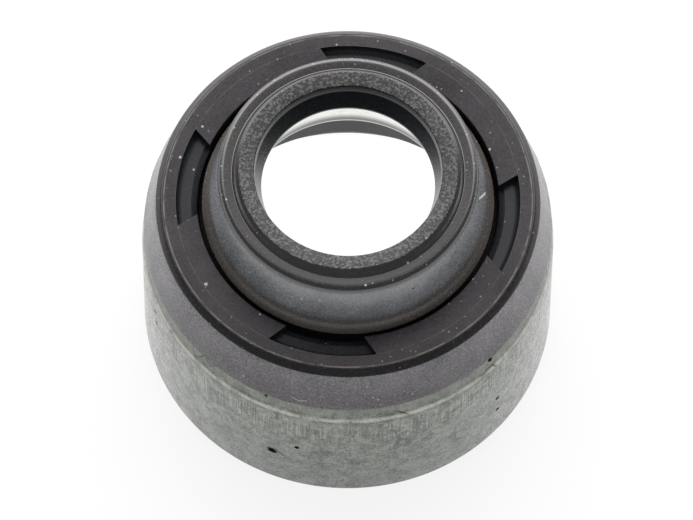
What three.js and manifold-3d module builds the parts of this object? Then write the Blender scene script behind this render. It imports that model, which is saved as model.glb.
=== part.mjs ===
// Valve stem seal: a pressed steel case with a rubber body moulded over and through it.
// Millimetres, +Z up. The axis of the seal is Z and the case stands on Z = 0.

import * as THREE from 'three';
import { mergeVertices } from 'three/addons/utils/BufferGeometryUtils.js';
import Module from 'manifold-3d';

const wasm = await Module();
wasm.setup();

// Facets round the axis and round each moulding hole
const TURN_SEGMENTS = 48;
const HOLE_SEGMENTS = 12;

// Rubber bonded to steel: the two skins lie this far apart
const BOND_GAP = 0.03;

// Bore, built outward from the stem: the lip, a taper up to a short land, and the mouth
const LIP_RADIUS = 3.97;
const LIP_THICKNESS = 0.12;
const LIP_RISE = 0.9;
const LAND_CLEARANCE = 0.28;
const LAND_DEPTH = 0.61;
const LAND_TAPER = 0.05;
const RELIEF_RISE = 0.55;

// Raised ring round the mouth, with a small ledge half way up its side
const RING_WIDTH = 0.69;
const RING_RISE = 0.24;
const RING_LEDGE_WIDTH = 0.16;
const RING_LEDGE_RISE = 0.1;

// Boss that carries the lip: flat rim, leaning side, undercut down to the neck
const BOSS_RISE = 2.91;
const RIM_WIDTH = 0.57;
const RIM_FILLET = 0.28;
const NECK_WALL = 0.7;
const BASE_OVERHANG = 0.3;
const BASE_DROP = 0.1;
const BASE_UNDERCUT = 0.45;

// Trench between the boss and the annulus
const TRENCH_WIDTH = 0.43;
const TRENCH_WEB = 0.35;
const TRENCH_FILLET = 0.2;

// Flat annulus over the crown of the case, bevelled at its outer edge
const ANNULUS_WIDTH = 1.64;
const ANNULUS_THICKNESS = 1.63;
const BEVEL_HEIGHT = 0.3;
const BEVEL_WIDTH = 0.26;

// Dovetail pockets sunk in the annulus, open to the trench
const POCKET_COUNT = 4;
const POCKET_LENGTH = 0.97;
const POCKET_DEPTH = 0.42;
const POCKET_BACK_HALF_ANGLE = 18.4;
const POCKET_FRONT_HALF_ANGLE = 14.9;
const POCKET_FILLET = 0.3;
const POCKET_LEDGE_WIDTH = 0.27;
const POCKET_LEDGE_DROP = 0.13;

// Rubber cover on the leaning shoulder; it laps this far below the bend of the crown
const COVER_THICKNESS = 0.21;
const COVER_LAP = 0.35;

// Steel case: skirt, leaning shoulder, flat crown and a collar turned up round the lip
const CASE_WALL = 0.6;
const SKIRT_HEIGHT = 7.1;
const SHOULDER_RISE = 2.45;
const SHOULDER_LEAN = 13.8;
const SHOULDER_INNER_BEND = 0.8;
const CROWN_INNER_BEND = 0.3;
const COLLAR_CLEARANCE = 0.9;
const COLLAR_HEIGHT = 1.65;
const COLLAR_INNER_BEND = 0.2;

// Grip lining inside the skirt, which holds the seal on the valve guide
const LINING_THICKNESS = 1.37;
const LINING_FOOT = 2.66;
const LINING_CHAMFER = 0.35;
const LINING_FLANGE = 0.6;
const LINING_FLANGE_HEIGHT = 0.3;

// Moulding holes through the crown, filled by the rubber that feeds the lining
const HOLE_COUNT = 8;
const HOLE_RADIUS = 0.5;

const degrees = THREE.MathUtils.degToRad;
const point = (radius, height) => new THREE.Vector2(radius, height);

/** Heights above the foot of the skirt that follow from the sizes above. */
function derivedHeights() {
  const crown = SKIRT_HEIGHT + SHOULDER_RISE;
  const annulus = crown + ANNULUS_THICKNESS;
  const boss = annulus + BOSS_RISE;
  const collarTop = crown + COLLAR_HEIGHT;
  const relief = collarTop + RELIEF_RISE;
  const crownBendCentre = crown - CROWN_INNER_BEND - CASE_WALL;
  const crownBendStart = crownBendCentre
    + (CROWN_INNER_BEND + CASE_WALL) * Math.sin(degrees(SHOULDER_LEAN));
  return {
    crown,
    annulus,
    boss,
    collarTop,
    relief,
    crownBendCentre,
    crownUnderside: crown - CASE_WALL,
    coverEdge: crownBendStart - COVER_LAP,
    bevelFoot: annulus - BEVEL_HEIGHT,
    trenchFloor: crown + TRENCH_WEB,
    bossBase: annulus - BASE_DROP,
    ringTop: boss + RING_RISE,
    lip: relief + LIP_RISE,
  };
}

const heights = derivedHeights();

/** Radii that follow from the sizes above, built outward from the lip to the cover. */
function derivedRadii() {
  const land = LIP_RADIUS + LAND_CLEARANCE;
  const mouth = land + LAND_TAPER;
  const ring = mouth + RING_WIDTH;
  const ringFoot = ring + 2 * RING_LEDGE_WIDTH;
  const collarBore = LIP_RADIUS + COLLAR_CLEARANCE;
  const collarOuter = collarBore + CASE_WALL;
  const neck = collarOuter + BOND_GAP + NECK_WALL;
  const bossBase = neck + BASE_OVERHANG;
  const annulusBore = bossBase + TRENCH_WIDTH;
  const annulusOuter = annulusBore + ANNULUS_WIDTH;
  return {
    land,
    mouth,
    ring,
    ringFoot,
    rim: ringFoot + RIM_WIDTH,
    collarBore,
    collarOuter,
    neck,
    bossBase,
    annulusBore,
    annulusOuter,
    bevel: annulusOuter + BEVEL_WIDTH,
    pocketLedge: annulusBore + POCKET_LEDGE_WIDTH,
    pocketBack: annulusBore + POCKET_LENGTH,
  };
}

const radii = derivedRadii();

/** Radius of the cover's leaning side at a height. */
function coverRadiusAt(height) {
  return radii.bevel + (heights.bevelFoot - height) * Math.tan(degrees(SHOULDER_LEAN));
}

/** Radius of the steel shoulder at a height, moved outward by an offset. */
function shoulderRadiusAt(height, offset) {
  return coverRadiusAt(height) - (COVER_THICKNESS - offset) / Math.cos(degrees(SHOULDER_LEAN));
}

const shoulderBend = SHOULDER_INNER_BEND + CASE_WALL;
const skirtRadius = shoulderRadiusAt(SKIRT_HEIGHT, -shoulderBend) + shoulderBend;
const liningBore = skirtRadius - CASE_WALL - BOND_GAP - LINING_THICKNESS;
const liningFlange = liningBore - LINING_FLANGE;
const holeCircle = liningBore;

/** Points along an arc in the profile plane; angles in degrees, 0 pointing outward, 90 up. */
function arc(centreRadius, centreHeight, radius, from, to, steps) {
  return Array.from({ length: steps + 1 }, (_, i) => {
    const angle = degrees(from + ((to - from) * i) / steps);
    return point(centreRadius + radius * Math.cos(angle), centreHeight + radius * Math.sin(angle));
  });
}

/** Skirt bend of the case, moved outward by an offset, from the skirt upward. */
function skirtBendSkin(offset) {
  return arc(skirtRadius - shoulderBend, SKIRT_HEIGHT, shoulderBend + offset, 0, SHOULDER_LEAN, 2);
}

/** Crown bend of the case, moved outward by an offset, from the shoulder to the flat crown. */
function crownBendSkin(offset) {
  const bend = CROWN_INNER_BEND + CASE_WALL;
  const centre = shoulderRadiusAt(heights.crownBendCentre, -bend);
  return arc(centre, heights.crownBendCentre, bend + offset, SHOULDER_LEAN, 90, 4);
}

/** Closed manifold solid from a three.js geometry. */
function solidOf(geometry) {
  const bare = geometry.clone();
  bare.deleteAttribute('normal');
  bare.deleteAttribute('uv');
  const merged = mergeVertices(bare, 1e-5);
  return new wasm.Manifold(new wasm.Mesh({
    numProp: 3,
    vertProperties: new Float32Array(merged.attributes.position.array),
    triVerts: new Uint32Array(merged.index.array),
  }));
}

/** three.js geometry from a manifold solid. */
function geometryOf(solid) {
  const mesh = solid.getMesh();
  const geometry = new THREE.BufferGeometry();
  geometry.setAttribute('position', new THREE.BufferAttribute(mesh.vertProperties, 3));
  geometry.setIndex(new THREE.BufferAttribute(mesh.triVerts, 1));
  geometry.computeVertexNormals();
  return geometry;
}

/** Solid of revolution about Z from a profile drawn counter-clockwise. */
function turned(profile) {
  const geometry = new THREE.LatheGeometry([...profile, profile[0]], TURN_SEGMENTS);
  return solidOf(geometry.rotateX(Math.PI / 2));
}

/** Round peg along Z between two heights, on the circle of the moulding holes. */
function peg(radius, bottom, top, angle) {
  const geometry = new THREE.CylinderGeometry(radius, radius, top - bottom, HOLE_SEGMENTS);
  geometry.rotateX(Math.PI / 2);
  geometry.translate(holeCircle, 0, (bottom + top) / 2);
  return solidOf(geometry.rotateZ(degrees(angle)));
}

/** Pegs at all the moulding holes, reaching past both faces of the crown. */
function pegs(radius) {
  const reach = CASE_WALL / 2;
  return Array.from({ length: HOLE_COUNT }, (_, i) => peg(
    radius,
    heights.crownUnderside - reach,
    heights.crown + reach,
    ((i + 0.5) * 360) / HOLE_COUNT,
  ));
}

/** Pressed steel case, one wall thick all over. */
function steelCaseSolid() {
  const collarBend = COLLAR_INNER_BEND + CASE_WALL;
  const profile = [
    point(skirtRadius, 0),
    ...skirtBendSkin(0),
    ...crownBendSkin(0),
    point(radii.collarOuter + COLLAR_INNER_BEND, heights.crown),
    point(radii.collarOuter, heights.crown + COLLAR_INNER_BEND),
    point(radii.collarOuter, heights.collarTop),
    point(radii.collarBore, heights.collarTop),
    ...arc(radii.collarBore + collarBend, heights.crownUnderside + collarBend, collarBend, 180, 270, 4),
    ...crownBendSkin(-CASE_WALL).reverse(),
    ...skirtBendSkin(-CASE_WALL).reverse(),
    point(skirtRadius - CASE_WALL, 0),
  ];
  return pegs(HOLE_RADIUS + BOND_GAP).reduce((solid, hole) => solid.subtract(hole), turned(profile));
}

/** Outside of the upper rubber: cover, annulus, trench and the leaning side of the boss. */
function upperRubberOutside() {
  return [
    point(coverRadiusAt(heights.coverEdge), heights.coverEdge),
    point(radii.bevel, heights.bevelFoot),
    point(radii.annulusOuter, heights.annulus),
    point(radii.annulusBore, heights.annulus),
    point(radii.annulusBore, heights.trenchFloor + TRENCH_FILLET),
    point(radii.annulusBore - TRENCH_FILLET, heights.trenchFloor),
    point(radii.neck + TRENCH_FILLET, heights.trenchFloor),
    point(radii.neck, heights.trenchFloor + TRENCH_FILLET),
    point(radii.neck, heights.bossBase - BASE_UNDERCUT),
    point(radii.bossBase, heights.bossBase),
    ...arc(radii.rim - RIM_FILLET, heights.boss - RIM_FILLET, RIM_FILLET, 10, 90, 3),
  ];
}

/** Top of the boss and the bore down to the relief under the lip. */
function lipProfile() {
  return [
    point(radii.ringFoot, heights.boss),
    point(radii.ringFoot - RING_LEDGE_WIDTH, heights.boss + RING_LEDGE_RISE),
    point(radii.ring, heights.ringTop),
    point(radii.mouth, heights.ringTop),
    point(radii.land, heights.ringTop - LAND_DEPTH),
    point(LIP_RADIUS, heights.lip + LIP_THICKNESS / 2),
    point(LIP_RADIUS, heights.lip - LIP_THICKNESS / 2),
    point(radii.collarBore, heights.relief),
  ];
}

/** Underside of the upper rubber, bonded to the collar, the crown and the shoulder. */
function upperRubberBond() {
  const collarSkin = radii.collarOuter + BOND_GAP;
  const collarEnd = heights.collarTop + BOND_GAP;
  const crownSkin = heights.crown + BOND_GAP;
  return [
    point(radii.collarBore, collarEnd),
    point(collarSkin, collarEnd),
    point(collarSkin, crownSkin + COLLAR_INNER_BEND),
    point(collarSkin + COLLAR_INNER_BEND, crownSkin),
    ...crownBendSkin(BOND_GAP).reverse(),
    point(shoulderRadiusAt(heights.coverEdge, BOND_GAP), heights.coverEdge),
  ];
}

/** Grip lining against the inside of the skirt and the crown. */
function liningProfile() {
  const skin = -CASE_WALL - BOND_GAP;
  const top = heights.crownUnderside - BOND_GAP;
  return [
    point(liningBore + LINING_CHAMFER, LINING_FOOT),
    point(skirtRadius + skin, LINING_FOOT),
    ...skirtBendSkin(skin),
    ...crownBendSkin(skin),
    point(liningFlange, top),
    point(liningFlange, top - LINING_FLANGE_HEIGHT),
    point(liningBore, top - LINING_FLANGE_HEIGHT),
    point(liningBore, LINING_FOOT + LINING_CHAMFER),
  ];
}

/** Section of a pocket turned all round: floor, fillet at the back, ledge toward the trench. */
function pocketRing() {
  const floor = heights.annulus - POCKET_DEPTH;
  const above = heights.annulus + POCKET_DEPTH;
  const inTrench = radii.annulusBore - TRENCH_WIDTH / 2;
  return turned([
    point(inTrench, floor - POCKET_LEDGE_DROP),
    point(radii.annulusBore, floor - POCKET_LEDGE_DROP),
    point(radii.pocketLedge, floor),
    ...arc(radii.pocketBack - POCKET_FILLET, floor + POCKET_FILLET, POCKET_FILLET, 270, 360, 3),
    point(radii.pocketBack, above),
    point(inTrench, above),
  ]);
}

/** Upright dovetail, wider away from the axis, that bounds one pocket; it points along +Y. */
function dovetail() {
  const place = (radius, halfAngle) => new THREE.Vector2(
    radius * Math.sin(degrees(halfAngle)),
    radius * Math.cos(degrees(halfAngle)),
  );
  const back = place(radii.pocketBack, POCKET_BACK_HALF_ANGLE);
  const front = place(radii.annulusBore, POCKET_FRONT_HALF_ANGLE);
  const flank = back.clone().sub(front).normalize();
  const near = front.clone().addScaledVector(flank, -TRENCH_WIDTH);
  const far = back.clone().addScaledVector(flank, POCKET_LENGTH);
  const outline = new THREE.Shape([
    new THREE.Vector2(near.x, near.y),
    new THREE.Vector2(far.x, far.y),
    new THREE.Vector2(-far.x, far.y),
    new THREE.Vector2(-near.x, near.y),
  ]);
  const reach = 2 * POCKET_DEPTH + POCKET_LEDGE_DROP;
  const geometry = new THREE.ExtrudeGeometry(outline, { depth: 2 * reach, bevelEnabled: false });
  return geometry.translate(0, 0, heights.annulus - reach);
}

/** All pockets as one cutting solid. */
function pocketCutter() {
  const ring = pocketRing();
  const pieces = Array.from({ length: POCKET_COUNT }, (_, i) => {
    const wedge = dovetail().rotateZ((i * 2 * Math.PI) / POCKET_COUNT);
    return ring.intersect(solidOf(wedge));
  });
  return pieces.reduce((all, piece) => all.add(piece));
}

/** One rubber moulding: the upper body, the lining and the pegs through the case. */
function rubberBodySolid() {
  const profile = [...upperRubberOutside(), ...lipProfile(), ...upperRubberBond()];
  const shaped = turned(profile).subtract(pocketCutter()).add(turned(liningProfile()));
  return pegs(HOLE_RADIUS).reduce((solid, plug) => solid.add(plug), shaped);
}

/** Phosphated steel: dull, slightly green grey. */
function steelMaterial() {
  return new THREE.MeshStandardMaterial({ color: 0x83867f, roughness: 0.45, metalness: 0.9 });
}

/** Moulded rubber: near black with a grey bloom. */
function rubberMaterial() {
  return new THREE.MeshStandardMaterial({ color: 0x2c2c2f, roughness: 0.55, metalness: 0.0 });
}

/** Named mesh of one piece. */
function piece(name, solid, material) {
  const mesh = new THREE.Mesh(geometryOf(solid), material);
  mesh.name = name;
  return mesh;
}

const seal = new THREE.Group();
seal.add(piece('steel_case', steelCaseSolid(), steelMaterial()));
seal.add(piece('rubber_body', rubberBodySolid(), rubberMaterial()));

export default seal;
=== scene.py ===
"""Looks of a valve stem seal: a pressed steel case with a rubber body moulded over and through it.

Lengths in the dataclasses are millimetres, and meshes are built in metres. The axis of the seal is Z.
"""

import logging
import math
from dataclasses import dataclass, field
from enum import Enum
from typing import ClassVar, Sequence

import bpy
from mathutils import Matrix, Vector

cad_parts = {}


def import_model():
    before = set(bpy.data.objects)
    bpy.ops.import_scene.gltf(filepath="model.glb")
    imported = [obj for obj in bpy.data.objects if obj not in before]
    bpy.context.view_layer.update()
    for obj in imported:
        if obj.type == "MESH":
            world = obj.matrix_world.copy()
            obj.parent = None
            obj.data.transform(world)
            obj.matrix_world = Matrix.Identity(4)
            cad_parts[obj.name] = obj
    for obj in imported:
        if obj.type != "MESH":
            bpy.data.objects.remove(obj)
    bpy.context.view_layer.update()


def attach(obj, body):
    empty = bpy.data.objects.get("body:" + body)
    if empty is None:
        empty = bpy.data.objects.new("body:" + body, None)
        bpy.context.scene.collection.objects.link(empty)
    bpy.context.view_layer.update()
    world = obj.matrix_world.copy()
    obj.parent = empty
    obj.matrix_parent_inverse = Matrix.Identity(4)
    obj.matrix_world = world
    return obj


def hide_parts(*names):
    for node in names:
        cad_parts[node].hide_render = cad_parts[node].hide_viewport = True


LOG = logging.getLogger("seal")
MM = 0.001
MM_PER_METRE = 1000.0
SPIN_STEPS = 360
FILLET_STEPS = 5
SHOULDER_STEPS = 6
BEND_STEPS = 10
WELD = 1e-7
Colour = tuple[float, float, float]


class Shape(Enum):
    """How a boolean joins a tool to a piece."""

    UNION = "UNION"
    DIFFERENCE = "DIFFERENCE"
    INTERSECT = "INTERSECT"


@dataclass(frozen=True)
class Corner:
    """One corner of a turned profile, in millimetres, with the radius of its rounding."""

    radius: float
    height: float
    fillet: float = 0.0

    def place(self) -> Vector:
        """Return the corner as a vector in the profile plane."""
        return Vector((self.radius, self.height))


def rounded(corners: Sequence[Corner], steps: int = FILLET_STEPS) -> list[Vector]:
    """Round the corners of a closed profile with tangent arcs.

    Args:
        corners: The corners in order round the profile.
        steps: Edges in each rounding.

    Returns:
        The points of the rounded profile, in millimetres.
    """
    points: list[Vector] = []
    for index, corner in enumerate(corners):
        here = corner.place()
        back = corners[index - 1].place() - here
        ahead = corners[(index + 1) % len(corners)].place() - here
        turn = back.angle(ahead)
        if corner.fillet <= 0.0 or turn > math.radians(178):
            points.append(here)
            continue
        reach = min(corner.fillet / math.tan(turn / 2), 0.49 * back.length, 0.49 * ahead.length)
        fillet = reach * math.tan(turn / 2)
        centre = here + (back.normalized() + ahead.normalized()).normalized() * (
            fillet / math.sin(turn / 2)
        )
        first = here + back.normalized() * reach - centre
        last = here + ahead.normalized() * reach - centre
        sweep = first.angle_signed(last)
        for step in range(steps + 1):
            points.append(centre + Matrix.Rotation(-sweep * step / steps, 2) @ first)
    return points


def arc_corners(
    centre: tuple[float, float], radius: float, start: float, end: float, steps: int
) -> list[Corner]:
    """Corners along an arc of the profile plane.

    Args:
        centre: Radius and height of the arc's centre.
        radius: Radius of the arc.
        start: First angle in degrees, 0 pointing outward and 90 up.
        end: Last angle in degrees.
        steps: Edges in the arc.

    Returns:
        The corners, without roundings of their own.
    """
    corners = []
    for step in range(steps + 1):
        angle = math.radians(start + (end - start) * step / steps)
        corners.append(
            Corner(centre[0] + radius * math.cos(angle), centre[1] + radius * math.sin(angle))
        )
    return corners


class Wiring:
    """Adds and joins the nodes of one material or shared group."""

    def __init__(self, tree: bpy.types.NodeTree) -> None:
        """Keep the node tree that is wired."""
        self.tree = tree

    def add(self, kind: str, **settings: object) -> bpy.types.Node:
        """Add a node and set its properties.

        Args:
            kind: Blender's type name of the node.
            settings: Properties of the node by name.

        Returns:
            The new node.
        """
        node = self.tree.nodes.new(kind)
        for name, value in settings.items():
            setattr(node, name, value)
        return node

    def feed(self, socket: bpy.types.NodeSocket, source: object) -> None:
        """Link a socket to another one, or write a constant on it.

        Args:
            socket: The input.
            source: A socket, a number, a vector or a colour.
        """
        if isinstance(source, bpy.types.NodeSocket):
            self.tree.links.new(source, socket)
        elif isinstance(source, tuple) and socket.type == "RGBA" and len(source) == 3:
            socket.default_value = (*source, 1.0)
        else:
            socket.default_value = source

    def math(self, operation: str, *sources: object, clamp: bool = False) -> bpy.types.NodeSocket:
        """Wire one sum of numbers.

        Args:
            operation: Name of the sum, such as MULTIPLY.
            sources: Sockets or numbers.
            clamp: Whether the result stays between 0 and 1.

        Returns:
            The result.
        """
        node = self.add("ShaderNodeMath", operation=operation, use_clamp=clamp)
        for socket, source in zip(node.inputs, sources):
            self.feed(socket, source)
        return node.outputs[0]

    def vector(self, operation: str, *sources: object) -> bpy.types.Node:
        """Wire one sum of vectors.

        Args:
            operation: Name of the sum, such as DISTANCE.
            sources: Sockets or vectors.

        Returns:
            The node, whose result may be a vector or a number.
        """
        node = self.add("ShaderNodeVectorMath", operation=operation)
        for socket, source in zip(node.inputs, sources):
            self.feed(socket, source)
        return node

    def ease(
        self, value: object, low: object, high: object, start: object = 0.0, end: object = 1.0
    ) -> bpy.types.NodeSocket:
        """Wire a smooth step.

        Args:
            value: The number that is read.
            low: Where the step starts.
            high: Where it ends.
            start: Result below the step.
            end: Result above it.

        Returns:
            The result.
        """
        node = self.add("ShaderNodeMapRange", interpolation_type="SMOOTHSTEP")
        for socket, source in zip(node.inputs, (value, low, high, start, end)):
            self.feed(socket, source)
        return node.outputs[0]

    def band(self, value: object, centre: float, width: float, soft: float) -> bpy.types.NodeSocket:
        """Wire a mask that is 1 inside a band and falls off softly.

        Args:
            value: The number that is read.
            centre: Middle of the band.
            width: Full width of the band.
            soft: Width of the fall on each side.

        Returns:
            The mask.
        """
        away = self.math("ABSOLUTE", self.math("SUBTRACT", value, centre))
        return self.ease(away, width / 2, width / 2 + soft, 1.0, 0.0)

    def blend(self, share: object, first: object, second: object) -> bpy.types.NodeSocket:
        """Wire a mix of two colours.

        Args:
            share: How much of the second colour is used.
            first: First colour.
            second: Second colour.

        Returns:
            The mixed colour.
        """
        node = self.add("ShaderNodeMix", data_type="RGBA", blend_type="MIX", clamp_result=True)
        for index, source in ((0, share), (6, first), (7, second)):
            self.feed(node.inputs[index], source)
        return node.outputs[2]

    def noise(
        self, vector: object, scale: object, detail: float = 3.0, rough: float = 0.55
    ) -> bpy.types.NodeSocket:
        """Wire a noise texture.

        Args:
            vector: Where it is read.
            scale: Waves per metre.
            detail: Octaves.
            rough: Weight of the fine octaves.

        Returns:
            The noise, about 0 to 1.
        """
        node = self.add("ShaderNodeTexNoise", noise_dimensions="3D")
        values = {"Vector": vector, "Scale": scale, "Detail": detail, "Roughness": rough}
        for name, source in values.items():
            self.feed(node.inputs[name], source)
        return node.outputs["Fac"]

    def stretch(self, vector: object, scale: tuple[float, float, float]) -> bpy.types.NodeSocket:
        """Wire a Mapping node that stretches a pattern.

        Args:
            vector: The coordinates.
            scale: Factor along each axis; below 1 draws the pattern out.

        Returns:
            The stretched coordinates.
        """
        node = self.add("ShaderNodeMapping")
        self.feed(node.inputs["Vector"], vector)
        node.inputs["Scale"].default_value = scale
        return node.outputs[0]

    def use(self, group: bpy.types.NodeTree, **sources: object) -> bpy.types.Node:
        """Place a shared group with its own values.

        Args:
            group: The shared group.
            sources: Values of its inputs, by name.

        Returns:
            The group's node.
        """
        node = self.add("ShaderNodeGroup")
        node.node_tree = group
        for name, source in sources.items():
            self.feed(node.inputs[name], source)
        return node


class Patterns:
    """Shader groups that several finishes share, each built once."""

    def __init__(self) -> None:
        """Build every group."""
        self.place = self.build_place()
        self.specks = self.build_specks()
        self.scratches = self.build_scratches()
        self.spot = self.build_spot()
        self.mark = self.build_mark()

    @staticmethod
    def start(
        name: str, inputs: dict[str, str], outputs: dict[str, str]
    ) -> tuple[Wiring, dict[str, bpy.types.NodeSocket], bpy.types.Node]:
        """Start a group with its sockets.

        Args:
            name: Name of the group.
            inputs: Socket types by input name.
            outputs: Socket types by output name.

        Returns:
            Its wiring, its input sockets by name, and its output node.
        """
        tree = bpy.data.node_groups.new(name, "ShaderNodeTree")
        for label, kind in inputs.items():
            tree.interface.new_socket(label, in_out="INPUT", socket_type=kind)
        for label, kind in outputs.items():
            tree.interface.new_socket(label, in_out="OUTPUT", socket_type=kind)
        wiring = Wiring(tree)
        entry = wiring.add("NodeGroupInput")
        leave = wiring.add("NodeGroupOutput")
        return wiring, {label: entry.outputs[label] for label in inputs}, leave

    def build_place(self) -> bpy.types.NodeTree:
        """Build the group that gives radius and height in millimetres.

        Returns:
            Group with a Vector in, and Radius and Height out.
        """
        wiring, given, leave = self.start(
            "seal_place",
            {"Vector": "NodeSocketVector"},
            {"Radius": "NodeSocketFloat", "Height": "NodeSocketFloat"},
        )
        flat = wiring.vector("MULTIPLY", given["Vector"], (MM_PER_METRE, MM_PER_METRE, 0.0))
        radius = wiring.vector("LENGTH", flat.outputs[0]).outputs["Value"]
        split = wiring.add("ShaderNodeSeparateXYZ")
        wiring.feed(split.inputs[0], given["Vector"])
        wiring.feed(leave.inputs["Radius"], radius)
        wiring.feed(leave.inputs["Height"], wiring.math("MULTIPLY", split.outputs["Z"], MM_PER_METRE))
        return wiring.tree

    def build_specks(self) -> bpy.types.NodeTree:
        """Build the group that scatters small dots over a surface.

        Returns:
            Group with the dots as its Mask.
        """
        number = "NodeSocketFloat"
        wiring, given, leave = self.start(
            "seal_specks",
            {"Vector": "NodeSocketVector", "Scale": number, "Size": number, "Share": number},
            {"Mask": number},
        )
        cells = wiring.add("ShaderNodeTexVoronoi", voronoi_dimensions="3D", feature="F1")
        wiring.feed(cells.inputs["Vector"], given["Vector"])
        wiring.feed(cells.inputs["Scale"], given["Scale"])
        split = wiring.add("ShaderNodeSeparateColor")
        wiring.feed(split.inputs[0], cells.outputs["Color"])
        size = wiring.math("MULTIPLY", given["Size"], wiring.ease(split.outputs[1], 0.0, 1.0, 0.6, 1.3))
        dot = wiring.ease(cells.outputs["Distance"], wiring.math("MULTIPLY", size, 0.5), size, 1.0, 0.0)
        chosen = wiring.math("LESS_THAN", split.outputs[0], given["Share"])
        wiring.feed(leave.inputs["Mask"], wiring.math("MULTIPLY", dot, chosen))
        return wiring.tree

    def build_scratches(self) -> bpy.types.NodeTree:
        """Build the group that draws thin broken marks.

        Returns:
            Group with the marks as its Mask.
        """
        number = "NodeSocketFloat"
        wiring, given, leave = self.start(
            "seal_scratches",
            {"Vector": "NodeSocketVector", "Scale": number, "Width": number, "Share": number},
            {"Mask": number},
        )
        lines = wiring.noise(given["Vector"], given["Scale"], 1.5)
        away = wiring.math("ABSOLUTE", wiring.math("SUBTRACT", lines, 0.5))
        line = wiring.ease(away, 0.0, given["Width"], 1.0, 0.0)
        patches = wiring.noise(given["Vector"], wiring.math("MULTIPLY", given["Scale"], 0.7), 2.0)
        edge = wiring.math("SUBTRACT", 1.0, given["Share"])
        patch = wiring.ease(patches, edge, wiring.math("ADD", edge, 0.08))
        wiring.feed(leave.inputs["Mask"], wiring.math("MULTIPLY", line, patch))
        return wiring.tree

    def build_spot(self) -> bpy.types.NodeTree:
        """Build the group that puts one ragged spot at a given place.

        Returns:
            Group with the spot as its Mask.
        """
        number, vector = "NodeSocketFloat", "NodeSocketVector"
        wiring, given, leave = self.start(
            "seal_spot", {"Vector": vector, "Centre": vector, "Radius": number}, {"Mask": number}
        )
        gap = wiring.vector("DISTANCE", given["Vector"], given["Centre"]).outputs["Value"]
        ragged = wiring.noise(given["Vector"], 15000.0, 2.0)
        reach = wiring.math("MULTIPLY", given["Radius"], wiring.ease(ragged, 0.2, 0.8, 0.6, 1.4))
        mask = wiring.ease(gap, wiring.math("MULTIPLY", reach, 0.6), reach, 1.0, 0.0)
        wiring.feed(leave.inputs["Mask"], mask)
        return wiring.tree

    def build_mark(self) -> bpy.types.NodeTree:
        """Build the group that puts one thin mark between two places.

        Returns:
            Group with the mark as its Mask.
        """
        number, vector = "NodeSocketFloat", "NodeSocketVector"
        wiring, given, leave = self.start(
            "seal_mark",
            {"Vector": vector, "Start": vector, "End": vector, "Radius": number},
            {"Mask": number},
        )
        along = wiring.vector("SUBTRACT", given["End"], given["Start"]).outputs["Vector"]
        reach = wiring.vector("SUBTRACT", given["Vector"], given["Start"]).outputs["Vector"]
        covered = wiring.vector("DOT_PRODUCT", reach, along).outputs["Value"]
        whole = wiring.vector("DOT_PRODUCT", along, along).outputs["Value"]
        share = wiring.math("DIVIDE", covered, whole, clamp=True)
        step = wiring.add("ShaderNodeVectorMath", operation="SCALE")
        wiring.feed(step.inputs["Vector"], along)
        wiring.feed(step.inputs["Scale"], share)
        gap = wiring.vector("DISTANCE", reach, step.outputs["Vector"]).outputs["Value"]
        inner = wiring.math("MULTIPLY", given["Radius"], 0.6)
        wiring.feed(leave.inputs["Mask"], wiring.ease(gap, inner, given["Radius"], 1.0, 0.0))
        return wiring.tree


@dataclass(frozen=True)
class Spot:
    """A mark at one place on the seal: angle in degrees from +X, and millimetres."""

    angle: float
    radius: float
    height: float
    size: float

    def place(self) -> tuple[float, float, float]:
        """Work out its place.

        Returns:
            X, Y and Z in metres.
        """
        turn = math.radians(self.angle)
        return (
            self.radius * math.cos(turn) * MM,
            self.radius * math.sin(turn) * MM,
            self.height * MM,
        )


def begin_material(name: str) -> tuple[bpy.types.Material, Wiring, bpy.types.Node, bpy.types.NodeSocket]:
    """Start a material.

    Args:
        name: Name of the material.

    Returns:
        The material, its wiring, its shader, and the Object coordinates.
    """
    material = bpy.data.materials.new(name)
    material.use_nodes = True
    wiring = Wiring(material.node_tree)
    shader = material.node_tree.nodes["Principled BSDF"]
    where = wiring.add("ShaderNodeTexCoord").outputs["Object"]
    return material, wiring, shader, where


def cover_spots(wiring: Wiring, patterns: Patterns, where: object, spots: Sequence[Spot]) -> object:
    """Wire one mask of several placed spots.

    Args:
        wiring: The material's wiring.
        patterns: The shared groups.
        where: Object coordinates.
        spots: The spots.

    Returns:
        The mask, or 0 where there are no spots.
    """
    mask: object = 0.0
    for spot in spots:
        node = wiring.use(patterns.spot, Vector=where, Centre=spot.place(), Radius=spot.size * MM)
        mask = wiring.math("MAXIMUM", mask, node.outputs["Mask"])
    return mask


def cover_marks(
    wiring: Wiring, patterns: Patterns, where: object, marks: Sequence[tuple[Spot, Spot]]
) -> object:
    """Wire one mask of several placed thin marks.

    Args:
        wiring: The material's wiring.
        patterns: The shared groups.
        where: Object coordinates.
        marks: The two ends of each mark; the first end's size is its width.

    Returns:
        The mask, or 0 where there are no marks.
    """
    mask: object = 0.0
    for start, end in marks:
        mark = wiring.use(
            patterns.mark, Vector=where, Start=start.place(), End=end.place(), Radius=start.size * MM / 2
        )
        mask = wiring.math("MAXIMUM", mask, mark.outputs[0])
    return mask


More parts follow.
